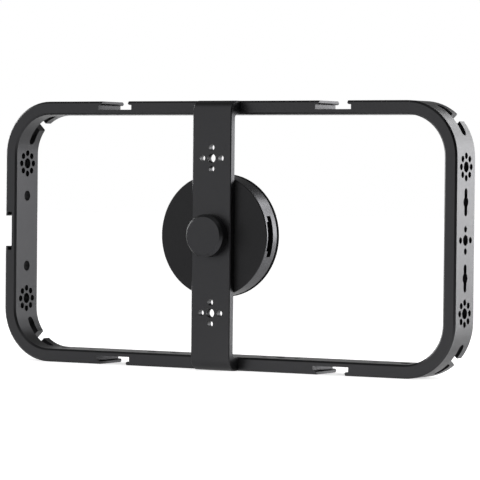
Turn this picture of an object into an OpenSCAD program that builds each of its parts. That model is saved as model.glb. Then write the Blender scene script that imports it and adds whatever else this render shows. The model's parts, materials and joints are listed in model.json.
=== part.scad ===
// Phone cage: an upright ring that surrounds a phone, bridged at the back by a bracket.
// A round magnetic mount is clamped to the bracket's front by a knob, and swivels when it is loosened.
// x runs across, y runs from the back to the phone's side, and z runs up from the underside of the ring.

/* [Frame] */
// Width of the ring
frame_w = 250; // [200:1:300]
// Height of the ring
frame_h = 128.5; // [110:0.5:160]
// Depth of the ring, from back to front
frame_d = 20; // [18:0.5:30]
// Thickness of the ring's wall
wall = 6.5; // [5.6:0.1:9]
// Outer radius of the ring's corners
corner_r = 26; // [24:0.5:34]
// Bevel on the ring's long edges
frame_bevel = 0.9; // [0.2:0.1:1.5]

/* [Threads and locating holes] */
// Bore of a quarter-inch thread
thread_d = 5.1; // [4.8:0.1:5.4]
// Bore of the bracket's threads
bracket_thread_d = 4.3; // [3.4:0.1:5.2]
// Bore of a locating hole
pin_d = 3; // [2:0.1:3.2]
// Circle that the locating holes lie on
pin_circle = 10.2; // [9:0.1:11.5]
// Number of locating holes in an outer group on a side wall
outer_pins = 8; // [4:4:8]
// Number of locating holes in the middle group and in a group on the bracket
middle_pins = 4; // [2:2:8]
// Height of the outer hole groups above and below the middle of a side wall
group_rise = 33.7; // [30:0.1:35]
// Height of the keyholes above and below the middle of a side wall
keyhole_rise = 17.5; // [15:0.1:19]
// Bore of a keyhole
keyhole_d = 5.1; // [4:0.1:5.4]
// Length of a keyhole's slot
keyhole_slot_l = 12.9; // [10:0.1:14]
// Width of a keyhole's slot
keyhole_slot_w = 3; // [2:0.1:3.4]
// Depth of a keyhole's slot
keyhole_slot_depth = 3; // [1:0.1:4]
// Places of the bottom bar's threads between its shoes
base_thread_x = [-44, -31, 28]; // [-46:1:46]
// Distance of the bottom bar's end threads from the ring's sides
base_end_thread = 30; // [29:0.5:36]
// Places of the bottom bar's locating holes between its shoes
base_pin_x = [19, 37]; // [-46:1:46]
// Distance of the bottom bar's outer locating holes beyond its shoes
base_outer_pin = 18.5; // [12:0.5:20]
// Bore of a locating hole in the bottom bar
base_pin_d = 3; // [2:0.1:4]

/* [Accessory shoes] */
// Distance of the top and bottom shoes from the middle
shoe_x = 60.5; // [50:0.5:75]
// Width of a shoe under its rails
shoe_w = 19; // [18.6:0.1:20]
// Width between a shoe's rails
shoe_neck_w = 15.1; // [12.6:0.1:16]
// Thickness of a shoe's rails
shoe_rail = 1.8; // [1.2:0.1:2]
// Bevel on the rails' inner edges
shoe_rail_bevel = 0.6; // [0.1:0.1:0.8]
// Depth of a shoe's floor below the outer face
shoe_depth = 4.1; // [3.8:0.1:4.6]

/* [Strap slots] */
// Length of a strap slot, square to the corner's diagonal
strap_slot_l = 20; // [14:0.5:22]
// Width of a strap slot, along the ring's depth
strap_slot_w = 4.4; // [3:0.1:5]
// Distance from the ring's front edge to a strap slot
strap_lip = 5.5; // [4:0.1:8]
// Width of the entry from the front edge
strap_entry_w = 5; // [3:0.1:7]

/* [Bracket] */
// Width of the bracket
bracket_w = 21.3; // [18:0.1:30]
// Thickness of the bracket's plate
bracket_t = 3.4; // [3:0.05:5]
// Distance that the bracket stands behind the ring
bracket_stand = 8.7; // [7:0.1:12]
// Outer radius of the bracket's bends
bend_r = 5.5; // [3:0.1:6]
// Inner radius of the bracket's bends
bend_fillet = 2; // [0.5:0.1:3]
// Bevel on the bracket's back edges
bracket_bevel = 0.4; // [0.1:0.1:0.8]
// Height of the bracket's hole groups above and below the middle
bracket_group_rise = 36.8; // [34:0.1:46]
// Distance of the bracket's screws from the middle
screw_x = 6; // [4:0.1:7]
// Diameter of the bracket's screws
screw_d = 2.5; // [2:0.1:3]
// Length of the bracket's screws below the head
screw_l = 16; // [14:0.5:17]
// Head diameter of the bracket's screws
screw_head_d = 4.5; // [4:0.1:4.6]
// Head height of the bracket's screws
screw_head_h = 2.5; // [1.5:0.1:3]
// Depth of the screws' counterbores from the ring's front edge
screw_sink = 9; // [7:0.5:10]

/* [Phone mount] */
// Sideways place of the mount's axis
mount_x = -0.8; // [-3:0.1:3]
// Diameter of the mount's body
mount_d = 58.4; // [56:0.1:64]
// Thickness of the mount's body
base_t = 9.9; // [9.5:0.1:14]
// Wall of the body round the magnets
base_rim = 2.4; // [1.5:0.1:3]
// Bevel on the mount's edges
mount_bevel = 0.4; // [0.1:0.1:0.8]
// Thickness of the front cover
cover_t = 1.9; // [1.2:0.1:3]
// How far the front cover stands out past the body's rim
cover_lip = 0.2; // [0:0.05:0.6]
// Thickness of the magnets
magnet_t = 2; // [1.2:0.1:2.6]
// Width of the magnet ring
magnet_ring_w = 4; // [3:0.1:5]
// Number of magnets in the ring
magnet_count = 18; // [12:1:24]
// Space between neighbouring magnets
magnet_space = 0.5; // [0.2:0.1:1]
// Thickness of the steel ring behind the magnets
yoke_t = 1; // [0.6:0.1:1.4]
// Length of the rim slot
rim_slot_l = 19.5; // [14:0.1:22]
// Width of the rim slot, along the mount's depth
rim_slot_w = 3.5; // [2.4:0.1:3.8]
// Length of the step at the back of the rim slot
rim_step_l = 14; // [10:0.1:18]
// Width of the step at the back of the rim slot
rim_step_w = 1.4; // [0.2:0.1:1.6]
// Distance from the mount's back face to the rim slot's step
rim_slot_skin = 1.2; // [0.6:0.1:1.8]
// Depth of the rim slot into the mount
rim_slot_depth = 8; // [5:0.5:10]
// Outer diameter of the grip pad
pad_d = 54.6; // [48:0.1:55.5]
// Inner diameter of the grip pad
pad_hole_d = 20; // [12:0.5:22]
// Thickness of the grip pad
pad_t = 0.7; // [0.6:0.1:1.2]
// Depth of the grip pad's seat in the cover
pad_seat = 0.4; // [0.2:0.1:0.5]
// Number of the cover's screws
cover_screw_count = 4; // [3:1:6]
// Distance of the cover's screws from the mount's axis
cover_screw_r = 14; // [13:0.1:16]
// Diameter of the cover's screws
cover_screw_d = 2; // [1.6:0.1:2.4]
// Head diameter of the cover's screws
cover_screw_head_d = 3.6; // [3:0.1:4.2]
// Length of the cover's screws in the mount's body
cover_screw_grip = 4; // [2.5:0.1:5]

/* [Knob] */
// Diameter of the knob
knob_d = 20.3; // [16:0.1:26]
// Height of the knob
knob_h = 5.8; // [5.4:0.1:10]
// Bevel on the knob's face
knob_bevel = 1.2; // [0.2:0.05:1.5]
// Diameter of the threaded stud
stud_d = 6.2; // [5.8:0.1:6.6]
// Depth of the stud in the knob
stud_seat = 3.8; // [2.5:0.1:4.2]
// Distance that the stud reaches past the mount's back face
stud_reach = 7.8; // [7.2:0.1:7.8]
// Diameter of the washer under the knob
washer_d = 14; // [11:0.1:15]
// Thickness of the washer under the knob
washer_t = 0.7; // [0.5:0.1:1]
// Outer diameter of the friction washer
friction_d = 20; // [18:0.1:20.4]
// Inner diameter of the friction washer
friction_hole_d = 14; // [13:0.1:15]
// Thickness of the friction washer
friction_t = 0.6; // [0.5:0.1:1]
// Outer diameter of the retaining clip
clip_d = 10.4; // [9.4:0.1:11]
// Thickness of the retaining clip
clip_t = 0.7; // [0.5:0.1:0.9]
// Distance from the mount's back face to the retaining clip
clip_depth = 2.6; // [2.6:0.1:2.8]
// Depth of the clip's groove in the stud
clip_groove = 0.6; // [0.3:0.1:0.8]
// Opening in the retaining clip
clip_gap = 3.6; // [3:0.1:4]

/* [Nut] */
// Diameter of the nut's body
nut_d = 10; // [9:0.1:11]
// Diameter of the nut's flange
nut_flange_d = 17; // [16:0.1:18]
// Thickness of the nut's flange
nut_flange_t = 1.2; // [0.8:0.1:1.4]
// Distance from the mount's back face to the nut
nut_depth = 3.7; // [3.7:0.1:4.2]
// Number of the nut's screws
nut_screw_count = 3; // [2:1:6]
// Distance of the nut's screws from the mount's axis
nut_screw_r = 6.7; // [6.5:0.1:6.9]
// Diameter of the nut's screws
nut_screw_d = 1.4; // [1.2:0.1:1.6]
// Head diameter of the nut's screws
nut_screw_head_d = 2.4; // [2:0.1:2.6]
// Head height of the nut's screws
nut_screw_head_h = 0.8; // [0.6:0.1:1]
// Length of the nut's screws in the mount's body
nut_screw_grip = 2.6; // [1.5:0.1:3]

/* [Clearances] */
// Space between the mount's back face and the bracket
swivel_gap = 0.4; // [0.1:0.05:0.5]
// Space between the knob and the bracket
knob_gap = 0.2; // [0.1:0.05:0.4]
// Space round the stud where it turns
turn_gap = 0.08; // [0.04:0.01:0.1]
// Space round a piece that is seated in another
seat_gap = 0.05; // [0.02:0.01:0.1]
// Space round a screw in a plain hole
screw_gap = 0.2; // [0.1:0.05:0.3]

/* [Hidden] */
$fn = 64;

// How far a cut runs past the face that it opens
over = 1;
// Colours
anodised = "#2b2b2d";
steel = "#8f9196";
brass = "#b08d3c";
plastic = "#1d1d1f";
rubber = "#18181a";
nylon = "#d8d6cf";

// Levels along the mount's axis, measured towards the back from the middle of the ring's depth
frame_back = frame_d / 2;
plate_back = frame_back + bracket_stand;
plate_front = plate_back - bracket_t;
base_back = plate_front - swivel_gap;
base_front = base_back - base_t;
cover_front = base_front - cover_t;
pad_back = cover_front + pad_seat;
tray_floor = base_front + magnet_t + yoke_t;
knob_front = plate_back + knob_gap;
knob_face = knob_front + knob_h;
nut_back = base_back - nut_depth;
nut_front = tray_floor - nut_flange_t;
clip_back = base_back - clip_depth;

// Sizes that follow from others
mount_r = mount_d / 2;
cover_r = mount_r + cover_lip;
magnet_out_r = mount_r - base_rim - seat_gap;
magnet_in_r = magnet_out_r - magnet_ring_w;
tray_r = magnet_in_r - seat_gap;
stud_r = stud_d / 2;
clip_in_r = stud_r - clip_groove + seat_gap;
socket_r = screw_head_d / 4;
leg_y = (frame_h - wall) / 2;
end_thread_x = frame_w / 2 - base_end_thread;
outer_pin_x = shoe_x + base_outer_pin;

// Places a shape drawn flat, with y up and z towards the back, as the cage stands
module upright() {
  translate([0, 0, frame_h / 2])
    rotate([90, 0, 0])
      children();
}

// Places a shape drawn round the z axis on the mount's axis
module on_axis() {
  upright()
    translate([mount_x, 0, 0])
      children();
}

module plug(low, high, r) {
  translate([0, 0, low])
    cylinder(h = high - low, r = r);
}

module cone(low, high, r_low, r_high) {
  translate([0, 0, low])
    cylinder(h = high - low, r1 = r_low, r2 = r_high);
}

module tube(low, high, r_in, r_out) {
  difference() {
    plug(low, high, r_out);
    plug(low - over, high + over, r_in);
  }
}

// A block from one corner to the opposite one
module block(low, high) {
  translate(low)
    cube(high - low);
}

module around(count, r) {
  for (i = [0 : count - 1])
    rotate([0, 0, (i + 0.5) * 360 / count])
      translate([r, 0, 0])
        children();
}

// Cross-section of the ring's wall, with its four edges bevelled
module wall_section() {
  half = frame_d / 2;
  polygon([
    [frame_bevel, -half], [wall - frame_bevel, -half],
    [wall, -half + frame_bevel], [wall, half - frame_bevel],
    [wall - frame_bevel, half], [frame_bevel, half],
    [0, half - frame_bevel], [0, -half + frame_bevel]
  ]);
}

// One straight side of the ring, with its outer face at the given reach
module bar(length, reach) {
  translate([-length / 2, reach - wall, 0])
    rotate([90, 0, 90])
      linear_extrude(length)
        wall_section();
}

module ring() {
  flat_w = frame_w - 2 * corner_r;
  flat_h = frame_h - 2 * corner_r;
  for (side = [0, 180]) {
    rotate([0, 0, side])
      bar(flat_w, frame_h / 2);
    rotate([0, 0, side + 90])
      bar(flat_h, frame_w / 2);
  }
  for (mx = [0, 1], my = [0, 1])
    mirror([mx, 0, 0])
      mirror([0, my, 0])
        translate([flat_w / 2, flat_h / 2, 0])
          rotate_extrude(angle = 90)
            translate([corner_r - wall, 0])
              wall_section();
}

// T-shaped slot for a shoe, with the outer face at y = 0 and the outside towards +y
module shoe_cut() {
  half = shoe_w / 2;
  neck = shoe_neck_w / 2;
  bevel = shoe_rail_bevel;
  linear_extrude(frame_d + 2 * over, center = true)
    polygon([
      [-neck, over], [-neck, bevel - shoe_rail], [-neck - bevel, -shoe_rail], [-half, -shoe_rail],
      [-half, -shoe_depth], [half, -shoe_depth],
      [half, -shoe_rail], [neck + bevel, -shoe_rail], [neck, bevel - shoe_rail], [neck, over]
    ]);
}

// A hole through a side wall, side 1 on the right and -1 on the left
module side_hole(side, y, z, d) {
  translate([side * (frame_w - wall) / 2, y, z])
    rotate([0, 90, 0])
      cylinder(h = wall + 2 * over, d = d, center = true);
}

// A thread with locating holes round it, in a side wall
module side_group(side, y, pins) {
  side_hole(side, y, 0, thread_d);
  for (i = [0 : pins - 1])
    side_hole(side, y + pin_circle / 2 * cos(i * 360 / pins), pin_circle / 2 * sin(i * 360 / pins), pin_d);
}

// A hole through a side wall, with a slot across its outer end
module side_keyhole(side, y) {
  half = (keyhole_slot_l - keyhole_slot_w) / 2;
  side_hole(side, y, 0, keyhole_d);
  translate([side * (frame_w / 2 - keyhole_slot_depth / 2 + over / 2), y, 0]) {
    cube([keyhole_slot_depth + over, 2 * half, keyhole_slot_w], center = true);
    for (end = [-half, half])
      translate([0, end, 0])
        rotate([0, 90, 0])
          cylinder(h = keyhole_slot_depth + over, d = keyhole_slot_w, center = true);
  }
}

// A strap slot on the diagonal of the top right corner, open to the front edge
module strap_cut() {
  run = 2 * wall;
  half = (strap_slot_l - strap_slot_w) / 2;
  slot_z = strap_lip + strap_slot_w / 2 - frame_d / 2;
  translate([frame_w / 2 - corner_r, frame_h / 2 - corner_r, 0])
    rotate([0, 0, 45])
      translate([corner_r - wall / 2, 0, 0]) {
        block([-run, -strap_entry_w / 2, -frame_d / 2 - over], [run, strap_entry_w / 2, slot_z]);
        translate([0, 0, slot_z])
          cube([2 * run, 2 * half, strap_slot_w], center = true);
        for (end = [-half, half])
          translate([0, end, slot_z])
            rotate([0, 90, 0])
              cylinder(h = 2 * run, d = strap_slot_w, center = true);
      }
}

// A hole through the bottom bar
module base_hole(x, d) {
  translate([x, -leg_y, 0])
    rotate([90, 0, 0])
      cylinder(h = wall + 2 * over, d = d, center = true);
}

// The four places of the bracket's screws
module at_screws() {
  for (x = [-screw_x, screw_x], y = [-leg_y, leg_y])
    translate([x, y, screw_sink - frame_back])
      children();
}

module cage_frame() {
  color(anodised)
    upright()
      difference() {
        ring();
        for (x = [-shoe_x, shoe_x], turn = [0, 180])
          rotate([0, 0, turn])
            translate([x, frame_h / 2, 0])
              shoe_cut();
        translate([-frame_w / 2, 0, 0])
          rotate([0, 0, 90])
            shoe_cut();
        for (side = [-1, 1], y = [-1, 1]) {
          side_group(side, y * group_rise, outer_pins);
          side_keyhole(side, y * keyhole_rise);
        }
        side_group(1, 0, middle_pins);
        for (mx = [0, 1], my = [0, 1])
          mirror([mx, 0, 0])
            mirror([0, my, 0])
              strap_cut();
        for (x = concat(base_thread_x, [-end_thread_x, end_thread_x]))
          base_hole(x, thread_d);
        for (x = concat(base_pin_x, [-outer_pin_x, outer_pin_x]))
          base_hole(x, base_pin_d);
        at_screws() {
          plug(-screw_sink - over, 0, screw_head_d / 2 + screw_gap);
          plug(-over, frame_d, screw_d / 2 + screw_gap);
        }
      }
}

// Side view of the bracket, with the back towards +x and up towards +y
module bracket_profile() {
  top = frame_h / 2;
  inside = top - wall;
  difference() {
    intersection() {
      union() {
        translate([frame_back, -top])
          square([bracket_stand - bend_r, frame_h]);
        translate([frame_back, bend_r - top])
          square([bracket_stand, frame_h - 2 * bend_r]);
        for (y = [bend_r - top, top - bend_r])
          translate([plate_back - bend_r, y])
            circle(bend_r);
      }
      translate([frame_back, -top])
        square([bracket_stand, frame_h]);
    }
    translate([frame_back - over, -inside])
      square([plate_front - frame_back + over - bend_fillet, 2 * inside]);
    translate([frame_back - over, bend_fillet - inside])
      square([plate_front - frame_back + over, 2 * (inside - bend_fillet)]);
    for (y = [bend_fillet - inside, inside - bend_fillet])
      translate([plate_front - bend_fillet, y])
        circle(bend_fillet);
  }
}

// What the bevel takes off along one back edge of the bracket, round both bends
module bracket_edge() {
  side = bracket_bevel * sqrt(2);
  straight = frame_h - 2 * bend_r;
  leg = bracket_stand - bend_r;
  translate([0, 0, plate_back])
    rotate([0, 45, 0])
      cube([side, straight, side], center = true);
  for (turn = [0, 180])
    rotate([0, 0, turn]) {
      translate([0, frame_h / 2, frame_back + leg / 2])
        rotate([0, 0, 45])
          cube([side, side, leg], center = true);
      translate([0, straight / 2, plate_back - bend_r])
        rotate([90, 0, 90])
          rotate_extrude(angle = 90)
            translate([bend_r, 0])
              rotate(45)
                square(side, center = true);
    }
}

module centre_bracket() {
  color(anodised)
    upright()
      difference() {
        rotate([0, -90, 0])
          linear_extrude(bracket_w, center = true)
            bracket_profile();
        for (x = [-bracket_w / 2, bracket_w / 2])
          translate([x, 0, 0])
            bracket_edge();
        for (y = [-bracket_group_rise, bracket_group_rise])
          translate([0, y, 0]) {
            plug(plate_front - over, plate_back + over, bracket_thread_d / 2);
            for (i = [0 : middle_pins - 1])
              rotate([0, 0, i * 360 / middle_pins])
                translate([pin_circle / 2, 0, 0])
                  plug(plate_front - over, plate_back + over, pin_d / 2);
          }
        translate([mount_x, 0, 0])
          plug(plate_front - over, plate_back + over, stud_r + turn_gap);
        at_screws()
          plug(0, screw_l + screw_gap, screw_d / 2 + seat_gap);
      }
}

module bracket_screws() {
  color(steel)
    upright()
      at_screws()
        difference() {
          union() {
            plug(-screw_head_h, 0, screw_head_d / 2);
            plug(-screw_head_h / 2, screw_l, screw_d / 2);
          }
          translate([0, 0, -screw_head_h - over])
            cylinder(h = screw_head_h / 2 + over, r = socket_r, $fn = 6);
        }
}

module knob_cap() {
  color(anodised)
    on_axis()
      difference() {
        union() {
          plug(knob_front, knob_face - knob_bevel, knob_d / 2);
          cone(knob_face - knob_bevel, knob_face, knob_d / 2, knob_d / 2 - knob_bevel);
        }
        plug(knob_front - over, plate_back + washer_t, washer_d / 2 + seat_gap);
        plug(knob_front - over, knob_front + stud_seat, stud_r + seat_gap);
      }
}

module knob_stud() {
  color(steel)
    on_axis()
      difference() {
        plug(base_back - stud_reach, knob_front + stud_seat, stud_r);
        tube(clip_back - clip_t - seat_gap, clip_back + seat_gap, stud_r - clip_groove, stud_r + over);
      }
}

module knob_washer() {
  color(nylon)
    on_axis()
      tube(plate_back, plate_back + washer_t, stud_r + seat_gap, washer_d / 2);
}

module stud_clip() {
  color(steel)
    on_axis()
      difference() {
        tube(clip_back - clip_t, clip_back, clip_in_r, clip_d / 2);
        block([0, -clip_gap / 2, clip_back - clip_t - over], [clip_d, clip_gap / 2, clip_back + over]);
      }
}

module friction_washer() {
  color(rubber)
    on_axis()
      tube(plate_front - friction_t, plate_front, friction_hole_d / 2, friction_d / 2);
}

// T-shaped slot in the right of the mount's rim
module rim_slot_cut() {
  step_back = base_back - rim_slot_skin;
  slot_back = step_back - rim_step_w;
  inner_x = mount_r - rim_slot_depth;
  outer_x = mount_r + over;
  block([inner_x, -rim_step_l / 2, slot_back - over / 2], [outer_x, rim_step_l / 2, step_back]);
  block([inner_x, -rim_slot_l / 2, slot_back - rim_slot_w], [outer_x, rim_slot_l / 2, slot_back]);
}

module mount_base() {
  color(anodised)
    on_axis()
      difference() {
        union() {
          plug(base_front, base_back - mount_bevel, mount_r);
          cone(base_back - mount_bevel, base_back, mount_r, mount_r - mount_bevel);
        }
        plug(base_front - over, tray_floor, mount_r - base_rim);
        plug(plate_front - friction_t, base_back + over, friction_d / 2 + seat_gap);
        plug(nut_back, base_back + over, clip_d / 2 + screw_gap);
        plug(base_front, nut_back + over, nut_d / 2 + seat_gap);
        rim_slot_cut();
        around(cover_screw_count, cover_screw_r)
          plug(tray_floor - over, tray_floor + cover_screw_grip + screw_gap, cover_screw_d / 2 + seat_gap);
        around(nut_screw_count, nut_screw_r)
          plug(tray_floor - over, tray_floor + nut_screw_grip + screw_gap, nut_screw_d / 2 + seat_gap);
      }
}

module hub_nut() {
  color(brass)
    on_axis()
      difference() {
        union() {
          plug(tray_floor, nut_back, nut_d / 2);
          plug(nut_front, tray_floor, nut_flange_d / 2);
        }
        plug(nut_front - over, nut_back + over, stud_r + turn_gap);
        around(nut_screw_count, nut_screw_r)
          plug(nut_front - over, tray_floor + over, nut_screw_d / 2 + screw_gap);
      }
}

module hub_screws() {
  color(steel)
    on_axis()
      around(nut_screw_count, nut_screw_r)
        union() {
          plug(nut_front - nut_screw_head_h, nut_front, nut_screw_head_d / 2);
          plug(nut_front, tray_floor + nut_screw_grip, nut_screw_d / 2);
        }
}

module yoke_ring() {
  color(steel)
    on_axis()
      tube(tray_floor - yoke_t, tray_floor, magnet_in_r, magnet_out_r);
}

// A ring of equal magnets, parted by straight gaps
module ring_magnets() {
  color(steel)
    on_axis()
      difference() {
        tube(base_front, base_front + magnet_t, magnet_in_r, magnet_out_r);
        around(magnet_count, 0)
          block([0, -magnet_space / 2, base_front - over],
                [mount_r, magnet_space / 2, base_front + magnet_t + over]);
      }
}

module magnet_tray() {
  nut_room = nut_front - nut_screw_head_h - screw_gap;
  color(plastic)
    on_axis()
      difference() {
        plug(base_front, tray_floor, tray_r);
        plug(nut_room, tray_floor + over, nut_flange_d / 2 + screw_gap);
        around(cover_screw_count, cover_screw_r)
          plug(base_front - over, tray_floor + over, cover_screw_d / 2 + screw_gap);
      }
}

module front_cover() {
  head_depth = (cover_screw_head_d - cover_screw_d) / 2;
  color(plastic)
    on_axis()
      difference() {
        union() {
          plug(cover_front + mount_bevel, base_front, cover_r);
          cone(cover_front, cover_front + mount_bevel, cover_r - mount_bevel, cover_r);
        }
        tube(cover_front - over, pad_back, pad_hole_d / 2 - seat_gap, pad_d / 2 + seat_gap);
        around(cover_screw_count, cover_screw_r) {
          cone(pad_back, pad_back + head_depth,
               cover_screw_head_d / 2 + seat_gap, cover_screw_d / 2 + seat_gap);
          plug(pad_back, base_front + over, cover_screw_d / 2 + seat_gap);
        }
      }
}

module cover_screws() {
  head_depth = (cover_screw_head_d - cover_screw_d) / 2;
  color(steel)
    on_axis()
      around(cover_screw_count, cover_screw_r)
        union() {
          cone(pad_back, pad_back + head_depth, cover_screw_head_d / 2, cover_screw_d / 2);
          plug(pad_back + head_depth, tray_floor + cover_screw_grip, cover_screw_d / 2);
        }
}

module grip_pad() {
  color(rubber)
    on_axis()
      tube(pad_back - pad_t, pad_back, pad_hole_d / 2, pad_d / 2);
}

cage_frame();
centre_bracket();
bracket_screws();
knob_cap();
knob_stud();
knob_washer();
stud_clip();
friction_washer();
mount_base();
hub_nut();
hub_screws();
yoke_ring();
ring_magnets();
magnet_tray();
front_cover();
cover_screws();
grip_pad();
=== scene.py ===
import json
import math

import bmesh
import bpy
from mathutils import Matrix, Vector


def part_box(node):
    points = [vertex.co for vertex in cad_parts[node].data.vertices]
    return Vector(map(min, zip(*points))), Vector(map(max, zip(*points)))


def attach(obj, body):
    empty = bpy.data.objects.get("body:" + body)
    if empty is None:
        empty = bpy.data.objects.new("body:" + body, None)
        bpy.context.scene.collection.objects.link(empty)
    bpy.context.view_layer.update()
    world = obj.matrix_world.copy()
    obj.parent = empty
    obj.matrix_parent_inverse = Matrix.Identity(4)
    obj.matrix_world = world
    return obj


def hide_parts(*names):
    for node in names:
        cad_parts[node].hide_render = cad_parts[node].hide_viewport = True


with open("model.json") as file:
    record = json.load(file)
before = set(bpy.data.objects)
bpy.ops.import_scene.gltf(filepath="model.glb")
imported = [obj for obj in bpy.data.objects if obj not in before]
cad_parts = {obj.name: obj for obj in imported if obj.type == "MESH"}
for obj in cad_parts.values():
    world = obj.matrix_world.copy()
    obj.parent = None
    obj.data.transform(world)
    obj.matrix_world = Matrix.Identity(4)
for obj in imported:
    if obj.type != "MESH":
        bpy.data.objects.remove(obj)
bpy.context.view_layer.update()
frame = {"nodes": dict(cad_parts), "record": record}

mm = 0.001
weld = 0.001 * mm  # points closer than this are one
scene = bpy.context.scene
nodes = frame["nodes"]
mounts = frame["record"]["mounts"]
print("frame loaded:", len(nodes), "nodes")


def linearColour(hexText):
    parts = [int(hexText[i:i + 2], 16) / 255 for i in (1, 3, 5)]
    return [c / 12.92 if c <= 0.04045 else ((c + 0.055) / 1.055) ** 2.4 for c in parts] + [1.0]


def addNode(tree, kind, inputs=None, links=None, **settings):
    node = tree.nodes.new(kind)
    for name, value in settings.items():
        setattr(node, name, value)
    for name, value in (inputs or {}).items():
        node.inputs[name].default_value = value
    for name, source in (links or {}).items():
        tree.links.new(source, node.inputs[name])
    return node


def patternScale(sizeMm):
    return 1 / (sizeMm * mm)  # noise scale whose features are about this wide


# Camera: fitted to the photograph's edges, in the cage's own frame
cameraSet = {
    "place": (720.13, -1220.1, 93.9),  # mm
    "yaw": 30.372,  # degrees
    "pitch": 1.29,
    "roll": -0.563,
    "focalPixels": 2950.69,
    "framePixels": 480,
    "sensor": 36.0,  # mm
    "clipEnd": 50,  # m
}


def makeCamera():
    yaw, pitch, roll = (math.radians(cameraSet[k]) for k in ("yaw", "pitch", "roll"))
    right = Vector((math.cos(yaw), math.sin(yaw), 0))
    forward = Vector((-math.sin(yaw) * math.cos(pitch), math.cos(yaw) * math.cos(pitch),
                      -math.sin(pitch)))
    down = forward.cross(right)
    rolledRight = math.cos(roll) * right + math.sin(roll) * down
    rolledDown = math.cos(roll) * down - math.sin(roll) * right
    data = bpy.data.cameras.new("camera")
    data.sensor_fit = "HORIZONTAL"
    data.sensor_width = cameraSet["sensor"]
    data.lens = cameraSet["focalPixels"] * cameraSet["sensor"] / cameraSet["framePixels"]
    data.clip_end = cameraSet["clipEnd"]
    camera = bpy.data.objects.new("camera", data)
    turn = Matrix((rolledRight, -rolledDown, -forward)).transposed()
    camera.matrix_world = Matrix.Translation(Vector(cameraSet["place"]) * mm) @ turn.to_4x4()
    scene.collection.objects.link(camera)
    scene.camera = camera


makeCamera()
print("camera set")


# Studio: a white surround that is dark above, an acrylic floor, a dark flag on the right, a
# softbox, and two small lamps for edges
surroundSet = {
    "colour": "#ffffff",
    "darkTowards": (0.0, 0.447, 0.894),
    "darkBegins": 0.38,  # cosine from darkTowards
    "darkFull": 0.68,
    "darkLevel": 0.19,
}


def makeSurround():
    world = bpy.data.worlds.new("surround")
    world.use_nodes = True
    tree = world.node_tree
    tree.nodes.clear()
    direction = addNode(tree, "ShaderNodeTexCoord").outputs["Generated"]
    facing = addNode(tree, "ShaderNodeVectorMath", {1: surroundSet["darkTowards"]}, {0: direction},
                     operation="DOT_PRODUCT").outputs["Value"]
    light = addNode(tree, "ShaderNodeMapRange",
                    {1: surroundSet["darkBegins"], 2: surroundSet["darkFull"], 3: 1.0,
                     4: surroundSet["darkLevel"]},
                    {0: facing}, interpolation_type="SMOOTHSTEP").outputs[0]
    eye = addNode(tree, "ShaderNodeLightPath").outputs["Is Camera Ray"]
    strength = addNode(tree, "ShaderNodeMath", links={0: light, 1: eye},
                       operation="MAXIMUM").outputs[0]  # the camera sees plain white
    background = addNode(tree, "ShaderNodeBackground",
                         {"Color": linearColour(surroundSet["colour"])}, {"Strength": strength})
    addNode(tree, "ShaderNodeOutputWorld", links={"Surface": background.outputs[0]})
    scene.world = world


floorSet = {
    "colour": "#f3f3f3",
    "roughness": 0.15,  # of the acrylic sheet, in reflections only
    "size": 9.0,  # m
    "cameraGlow": 0.72,  # lifts the floor to white, apart from its shadow
    # the glow in reflections is dimmer to the left: painted shade of the ring and disc on the floor
    "mirrorGlowPaintedShade": {"left": 0.38, "right": 0.6, "from": -60, "to": 30},  # in reflections; mm across
}


def makeFloor():
    mesh = bpy.data.meshes.new("floor")
    bm = bmesh.new()
    bmesh.ops.create_grid(bm, x_segments=1, y_segments=1, size=floorSet["size"] / 2)
    bm.to_mesh(mesh)
    bm.free()
    floor = bpy.data.objects.new("floor", mesh)
    scene.collection.objects.link(floor)
    material = bpy.data.materials.new("whiteAcrylic")
    material.use_nodes = True
    tree = material.node_tree
    tree.nodes.clear()
    white = linearColour(floorSet["colour"])
    path = addNode(tree, "ShaderNodeLightPath")
    eye = path.outputs["Is Camera Ray"]
    matte = addNode(tree, "ShaderNodeBsdfDiffuse", {"Color": white}).outputs[0]
    sheet = addNode(tree, "ShaderNodeBsdfPrincipled",
                    {"Base Color": white, "Roughness": floorSet["roughness"]}).outputs[0]
    lit = addNode(tree, "ShaderNodeMixShader", links={0: eye, 1: sheet, 2: matte}).outputs[0]
    mirrored = addNode(tree, "ShaderNodeMath", links={0: path.outputs["Is Glossy Ray"],
                                                      1: path.outputs["Is Transmission Ray"]},
                       operation="MAXIMUM").outputs[0]
    # the floor's glow in reflections ramps across x, dimmer to the left, as painted shade
    paintedShadeGlow = floorSet["mirrorGlowPaintedShade"]
    place = addNode(tree, "ShaderNodeTexCoord").outputs["Object"]
    across = addNode(tree, "ShaderNodeSeparateXYZ", links={0: place}).outputs["X"]
    paintedShadeLevel = addNode(tree, "ShaderNodeMapRange",
                    {1: paintedShadeGlow["from"] * mm, 2: paintedShadeGlow["to"] * mm, 3: paintedShadeGlow["left"], 4: paintedShadeGlow["right"]},
                    {0: across}).outputs[0]
    glow = addNode(tree, "ShaderNodeMath", links={0: mirrored, 1: paintedShadeLevel},
                   operation="MULTIPLY").outputs[0]
    glow = addNode(tree, "ShaderNodeMath", {1: floorSet["cameraGlow"]}, {0: eye, 2: glow},
                   operation="MULTIPLY_ADD").outputs[0]
    shine = addNode(tree, "ShaderNodeEmission", {"Color": white}, {"Strength": glow}).outputs[0]
    both = addNode(tree, "ShaderNodeAddShader", links={0: lit, 1: shine}).outputs[0]
    addNode(tree, "ShaderNodeOutputMaterial", links={"Surface": both})
    mesh.materials.append(material)


sideFlagSet = {"ends": [(240, -535), (550, 45)], "height": 600, "colour": "#404040"}  # mm


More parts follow.
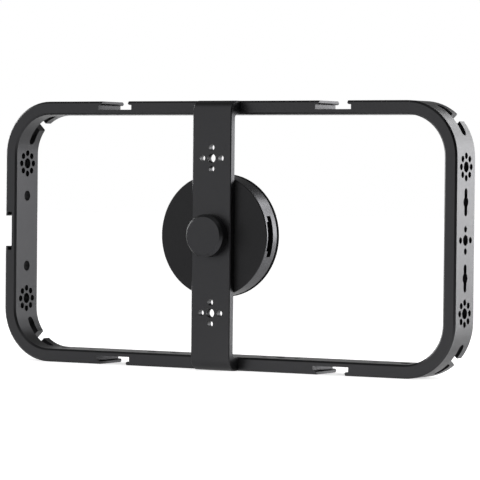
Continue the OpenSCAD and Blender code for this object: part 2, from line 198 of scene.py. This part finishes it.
def makeSideFlag():
    (x0, y0), (x1, y1) = sideFlagSet["ends"]
    top = sideFlagSet["height"]
    corners = [(x0, y0, 0), (x1, y1, 0), (x1, y1, top), (x0, y0, top)]
    mesh = bpy.data.meshes.new("sideFlag")
    bm = bmesh.new()
    bm.faces.new([bm.verts.new(Vector(corner) * mm) for corner in corners])
    bm.to_mesh(mesh)
    bm.free()
    flag = bpy.data.objects.new("sideFlag", mesh)
    flag.visible_camera = flag.visible_diffuse = flag.visible_shadow = False  # in reflections alone
    scene.collection.objects.link(flag)
    material = bpy.data.materials.new("blackFlock")
    material.use_nodes = True
    tree = material.node_tree
    tree.nodes.clear()
    cloth = addNode(tree, "ShaderNodeBsdfDiffuse", {"Color": linearColour(sideFlagSet["colour"])})
    addNode(tree, "ShaderNodeOutputMaterial", links={"Surface": cloth.outputs[0]})
    mesh.materials.append(material)


# mm; a lamp's radiance of 1 is as bright as the surround
stripLightSet = {"place": (-520, 240, 190), "aim": (0, 0, 80), "size": (180, 260), "radiance": 4.5}
cornerLightSet = {"place": (190, 400, 362), "aim": (120, 0, 115), "size": (150, 140),
                  "radiance": 4.3}


def makeLamp(name, lamp):
    place, aim = Vector(lamp["place"]) * mm, Vector(lamp["aim"]) * mm
    data = bpy.data.lights.new(name, "AREA")
    data.shape = "RECTANGLE"
    data.size, data.size_y = (side * mm for side in lamp["size"])
    data.energy = lamp["radiance"] * math.pi * data.size * data.size_y  # W of a flat emitter
    made = bpy.data.objects.new(name, data)
    turn = (aim - place).to_track_quat("-Z", "Y").to_matrix().to_4x4()
    roll = Matrix.Rotation(math.radians(lamp.get("roll", 0)), 4, "Z")
    made.matrix_world = Matrix.Translation(place) @ turn @ roll
    made.visible_camera = False
    scene.collection.objects.link(made)


# mm; leaning strips, brighter from the left edge on, up to fullAt; the top edge falls by its
# slope to the right, so that the top bar has no glare
softboxSet = {"left": 0, "right": 450, "fullAt": 300, "bottom": 4, "top": 460, "distance": 400,
              "strips": 10, "lean": 17, "rightHeight": 200, "slope": 1.25, "falloff": 4.8,
              "radiance": 11.4}


def makeSoftbox():
    box, lean = softboxSet, math.radians(softboxSet["lean"])
    width, full = (box["right"] - box["left"]) / box["strips"], box["top"] - box["bottom"]
    for i in range(box["strips"]):
        x = box["left"] + width * (i + 0.5)
        share = min(1, (x - box["left"]) / (box["fullAt"] - box["left"])) ** box["falloff"]
        height = min(full, box["rightHeight"] + (box["right"] - x) * box["slope"])
        lower = (full - height) / 2  # down the leaning strip, whose foot stays
        x += lower * math.sin(lean)
        z = (box["top"] + box["bottom"]) / 2 - lower * math.cos(lean)
        makeLamp("softboxStrip", {"place": (x, box["distance"], z), "aim": (x, 0, z),
                                  "roll": -box["lean"], "size": (width, height),
                                  "radiance": box["radiance"] * share})


makeSurround()
makeFloor()
makeSideFlag()
makeSoftbox()
makeLamp("stripLight", stripLightSet)
makeLamp("cornerLight", cornerLightSet)
scene.view_settings.view_transform = "Standard"
print("studio set")


# Materials: each is a base colour, a fine grain in its relief and its gloss, and a broad drift
# in its tone
noiseSet = {"grainDetail": 3.0, "driftDetail": 2.0, "low": 0.3, "high": 0.7}  # most lies between


def rimMask(tree, place, rim):
    low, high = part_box(rim["node"])
    centre, radius = (low + high) / 2, (high.x - low.x) / 2
    offset = addNode(tree, "ShaderNodeVectorMath", {1: centre}, {0: place},
                     operation="SUBTRACT").outputs[0]
    flat = addNode(tree, "ShaderNodeVectorMath", {1: (1, 0, 1)}, {0: offset},
                   operation="MULTIPLY").outputs[0]
    reach = addNode(tree, "ShaderNodeVectorMath", links={0: flat},
                    operation="LENGTH").outputs["Value"]
    return addNode(tree, "ShaderNodeMapRange", {1: radius - rim["within"] * mm, 2: radius},
                   {0: reach}).outputs[0]


def makeMaterial(name, look):
    material = bpy.data.materials.new(name)
    material.use_nodes = True
    tree = material.node_tree
    tree.nodes.clear()
    place = addNode(tree, "ShaderNodeTexCoord").outputs["Object"]
    stretched = addNode(tree, "ShaderNodeMapping", {"Scale": look.get("stretch", (1, 1, 1))},
                        {"Vector": place}).outputs[0]
    grain = addNode(tree, "ShaderNodeTexNoise",
                    {"Scale": patternScale(look["grain"]), "Detail": noiseSet["grainDetail"]},
                    {"Vector": stretched}).outputs["Fac"]
    drift = addNode(tree, "ShaderNodeTexNoise",
                    {"Scale": patternScale(look["drift"]), "Detail": noiseSet["driftDetail"]},
                    {"Vector": place}).outputs["Fac"]
    colour = addNode(tree, "ShaderNodeMix",
                     {6: linearColour(look["dark"]), 7: linearColour(look["light"])},
                     {0: drift}, data_type="RGBA").outputs[2]  # 6 and 7 are the two colours
    low, high = look["roughness"]
    rough = addNode(tree, "ShaderNodeMapRange",
                    {1: noiseSet["low"], 2: noiseSet["high"], 3: low, 4: high},
                    {0: grain}).outputs[0]
    if "rim" in look:
        rim = look["rim"]
        mask = rimMask(tree, place, rim)
        colour = addNode(tree, "ShaderNodeMix", {7: linearColour(rim["colour"])},
                         {0: mask, 6: colour}, data_type="RGBA").outputs[2]
        rough = addNode(tree, "ShaderNodeMix", {3: rim["roughness"]},
                        {0: mask, 2: rough}).outputs[0]  # 2 and 3 are the two numbers
    relief = addNode(tree, "ShaderNodeBump",
                     {"Strength": look["relief"], "Distance": look["depth"] * mm},
                     {"Height": grain}).outputs[0]
    shader = addNode(tree, "ShaderNodeBsdfPrincipled",
                     {"Metallic": look["metallic"], **look.get("sockets", {})},
                     {"Base Color": colour, "Roughness": rough, "Normal": relief}).outputs[0]
    addNode(tree, "ShaderNodeOutputMaterial", links={"Surface": shader})
    return material


looks = {
    # bead-blasted and dyed: a satin black with a soft sheen; grit of 0.1 mm, drawn at 0.7 mm so
    # that it shows
    "anodisedAluminium": {
        "dark": "#3a3a3c", "light": "#3f3f40", "metallic": 1.0, "roughness": (0.36, 0.42),
        "grain": 0.7, "drift": 45, "relief": 0.06, "depth": 0.03},
    # the same dye over a turned body: darker, with a brighter rim that dulls at a slant, where
    # the dye looks thicker
    "turnedAnodisedAluminium": {
        "dark": "#2e2e2f", "light": "#323233", "metallic": 1.0, "roughness": (0.44, 0.52),
        "grain": 0.7, "drift": 40, "relief": 0.06, "depth": 0.03,
        "sockets": {"Specular Tint": linearColour("#cbcbcb")},
        "rim": {"node": "mount_base", "within": 0.3, "colour": "#5a5a5c", "roughness": 0.26}},
    # the same dye in the bores, painted darker as shade, since little light comes there
    "anodisedThreadPaintedShade": {
        "dark": "#121213", "light": "#161617", "metallic": 1.0, "roughness": (0.33, 0.39),
        "grain": 0.7, "drift": 45, "relief": 0.12, "depth": 0.03},
    # black-oxide screws: dark, a little oily
    "blackOxideSteel": {
        "dark": "#2b2b2d", "light": "#343437", "metallic": 1.0, "roughness": (0.28, 0.38),
        "grain": 0.4, "drift": 6, "relief": 0.15, "depth": 0.02},
    # turned bright steel: fine rings from the tool
    "turnedSteel": {
        "dark": "#a9aaac", "light": "#b9babd", "metallic": 1.0, "roughness": (0.22, 0.32),
        "grain": 0.3, "drift": 8, "relief": 0.15, "depth": 0.02, "stretch": (1, 6, 1)},
    # nickel plate over sintered magnets: bright, slightly warm
    "nickelPlate": {
        "dark": "#c3bfb6", "light": "#cfcbc3", "metallic": 1.0, "roughness": (0.14, 0.22),
        "grain": 0.5, "drift": 10, "relief": 0.08, "depth": 0.02},
    # turned brass: yellow, with the same fine rings
    "turnedBrass": {
        "dark": "#b58a3e", "light": "#c39a4c", "metallic": 1.0, "roughness": (0.22, 0.32),
        "grain": 0.3, "drift": 8, "relief": 0.15, "depth": 0.02, "stretch": (1, 6, 1)},
    # moulded ABS: dull black, with a spark-eroded texture of 0.3 mm, drawn at 0.6 mm
    "mouldedPlastic": {
        "dark": "#141415", "light": "#191919", "metallic": 0.0, "roughness": (0.48, 0.58),
        "grain": 0.6, "drift": 30, "relief": 0.25, "depth": 0.04},
    # soft-touch polycarbonate: black and quite dull
    "softTouchPolycarbonate": {
        "dark": "#121213", "light": "#161617", "metallic": 0.0, "roughness": (0.80, 0.90),
        "grain": 0.5, "drift": 30, "relief": 0.2, "depth": 0.03,
        "sockets": {"Specular IOR Level": 0.02}},
    # matte silicone: soft bloom, no clear reflection
    "matteSilicone": {
        "dark": "#171718", "light": "#1d1d1e", "metallic": 0.0, "roughness": (0.62, 0.74),
        "grain": 0.5, "drift": 20, "relief": 0.3, "depth": 0.03},
    # natural nylon: milky
    "naturalNylon": {
        "dark": "#d3d0c6", "light": "#dcdad1", "metallic": 0.0, "roughness": (0.40, 0.50),
        "grain": 0.6, "drift": 12, "relief": 0.1, "depth": 0.03},
}
materials = {name: makeMaterial(name, look) for name, look in looks.items()}
finishes = {
    "anodisedAluminium": ["cage_frame", "centre_bracket", "knob_cap"],
    "turnedAnodisedAluminium": ["mount_base"],
    "blackOxideSteel": ["bracket_screws"],
    "turnedSteel": ["knob_stud", "stud_clip", "hub_screws", "yoke_ring", "cover_screws"],
    "nickelPlate": ["ring_magnets"],
    "turnedBrass": ["hub_nut"],
    "mouldedPlastic": ["magnet_tray"],
    "softTouchPolycarbonate": ["front_cover"],
    "matteSilicone": ["friction_washer", "grip_pad"],
    "naturalNylon": ["knob_washer"],
}
for finish, members in finishes.items():
    for member in members:
        nodes[member].data.materials.clear()
        nodes[member].data.materials.append(materials[finish])
print("materials made:", len(materials))


def makePiece(name, bm, finish, body):
    bmesh.ops.remove_doubles(bm, verts=bm.verts, dist=weld)
    bmesh.ops.recalc_face_normals(bm, faces=bm.faces)
    mesh = bpy.data.meshes.new(name)
    bm.to_mesh(mesh)
    bm.free()
    mesh.materials.append(materials[finish])
    piece = bpy.data.objects.new(name, mesh)
    scene.collection.objects.link(piece)
    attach(piece, body)
    return piece


# Soft rings: the grip pad that the phone rests on, and the friction washer behind the mount; mm
padSet = {"holeRadius": 10.0, "edge": 0.16, "edgeSegments": 3, "grooves": 3, "grooveWidth": 0.8,
          "grooveDepth": 0.12, "steps": 160}
washerSet = {"holeRadius": 7.0, "edge": 0.12, "edgeSegments": 3, "grooves": 0, "grooveWidth": 0.0,
             "grooveDepth": 0.0, "steps": 96}


def softRing(name, node, ring):
    low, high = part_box(node)
    centre = (low + high) / 2
    outer, inner = (high.x - low.x) / 2, ring["holeRadius"] * mm
    section = [(inner, low.y), (inner, high.y)]
    pitch = (outer - inner) / (ring["grooves"] + 1)
    half, floorY = ring["grooveWidth"] * mm / 2, high.y - ring["grooveDepth"] * mm
    for i in range(ring["grooves"]):
        at = inner + pitch * (i + 1)
        section += [(at - half, high.y), (at - half / 2, floorY),
                    (at + half / 2, floorY), (at + half, high.y)]
    section += [(outer, high.y), (outer, low.y)]
    rims = (section[0], section[1], section[-2], section[-1])
    bm = bmesh.new()
    loop = [bm.verts.new((centre.x + r, y, centre.z)) for r, y in section]
    edges = [bm.edges.new((loop[i - 1], loop[i])) for i in range(len(loop))]
    bmesh.ops.spin(bm, geom=loop + edges, cent=centre, axis=(0, 1, 0), angle=2 * math.pi,
                   steps=ring["steps"], use_merge=True)
    bmesh.ops.remove_doubles(bm, verts=bm.verts, dist=weld)

    def onRim(vert):
        r = math.hypot(vert.co.x - centre.x, vert.co.z - centre.z)
        return any(abs(r - a) < weld and abs(vert.co.y - b) < weld for a, b in rims)

    def runsRound(edge):
        return abs(edge.verts[0].co.y - edge.verts[1].co.y) < weld

    sharp = [e for e in bm.edges if all(onRim(v) for v in e.verts) and runsRound(e)]
    bmesh.ops.bevel(bm, geom=sharp, offset=ring["edge"] * mm, offset_type="OFFSET",
                    affect="EDGES", segments=ring["edgeSegments"], profile=0.5, material=-1)
    for face in bm.faces:
        face.smooth = True
    piece = makePiece(name, bm, "matteSilicone", "mount")
    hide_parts(node)


softRing("grip_pad_ring", "grip_pad", padSet)
softRing("friction_ring", "friction_washer", washerSet)
print("soft rings made")


# Threads: a fine helical ridge in every threaded bore
threadSet = {
    "pitch": 1.27,  # mm
    "height": 0.22,
    "finePitch": 0.8,
    "fineHeight": 0.12,
    "fineBelow": 2.4,  # radius under which a bore has the fine thread
    "sink": 0.03,  # of the ridge's foot into the wall
    "footHalf": 0.42,  # half widths of the ridge, in pitches
    "crestHalf": 0.06,
    "wall": 6.5,
    "steps": 36,  # in a turn
}


def threadBores():
    bores = []
    for mount in mounts:
        place, axis, dims = Vector(mount["pos_m"]), Vector(mount["axis"]), mount["dims"]
        if mount["kind"] == "threaded_hole":
            bores.append((place, axis, dims["length_mm"] * mm, dims["r_mm"]))
        elif mount["name"].endswith("threads"):
            along = Vector((1, 0, 0)) if abs(axis.z) > abs(axis.x) else Vector((0, 0, 1))
            step = along * dims.get("spacing_x_mm", dims.get("spacing_y_mm")) * mm / 2
            length = threadSet["wall"] * mm
            middle = place - axis * length / 2
            bores += [(middle + side, axis, length, dims["hole_r_mm"]) for side in (step, -step)]
    return bores


def makeThreads():
    bm = bmesh.new()
    foot, top = threadSet["footHalf"], threadSet["crestHalf"]
    for place, axis, length, bore in threadBores():
        fine = bore < threadSet["fineBelow"]
        pitch = threadSet["finePitch" if fine else "pitch"] * mm
        crest = (bore - threadSet["fineHeight" if fine else "height"]) * mm
        root = (bore + threadSet["sink"]) * mm
        out = axis.orthogonal().normalized()
        turns = length / pitch - 1  # half a turn is left free at each end
        start = place - axis * pitch * turns / 2
        profile = [(root, -foot), (crest, -top), (crest, top), (root, foot)]
        ridge = bm.faces.new([bm.verts.new(start + out * r + axis * pitch * share)
                              for r, share in profile])
        steps = round(turns * threadSet["steps"])
        bmesh.ops.spin(bm, geom=[ridge], cent=place, axis=axis, dvec=axis * pitch * turns / steps,
                       angle=2 * math.pi * turns, steps=steps)
    # the threads take the darker look: painted shade in the bores
    makePiece("bore_threads", bm, "anodisedThreadPaintedShade", "cage")


makeThreads()
print("threads made")
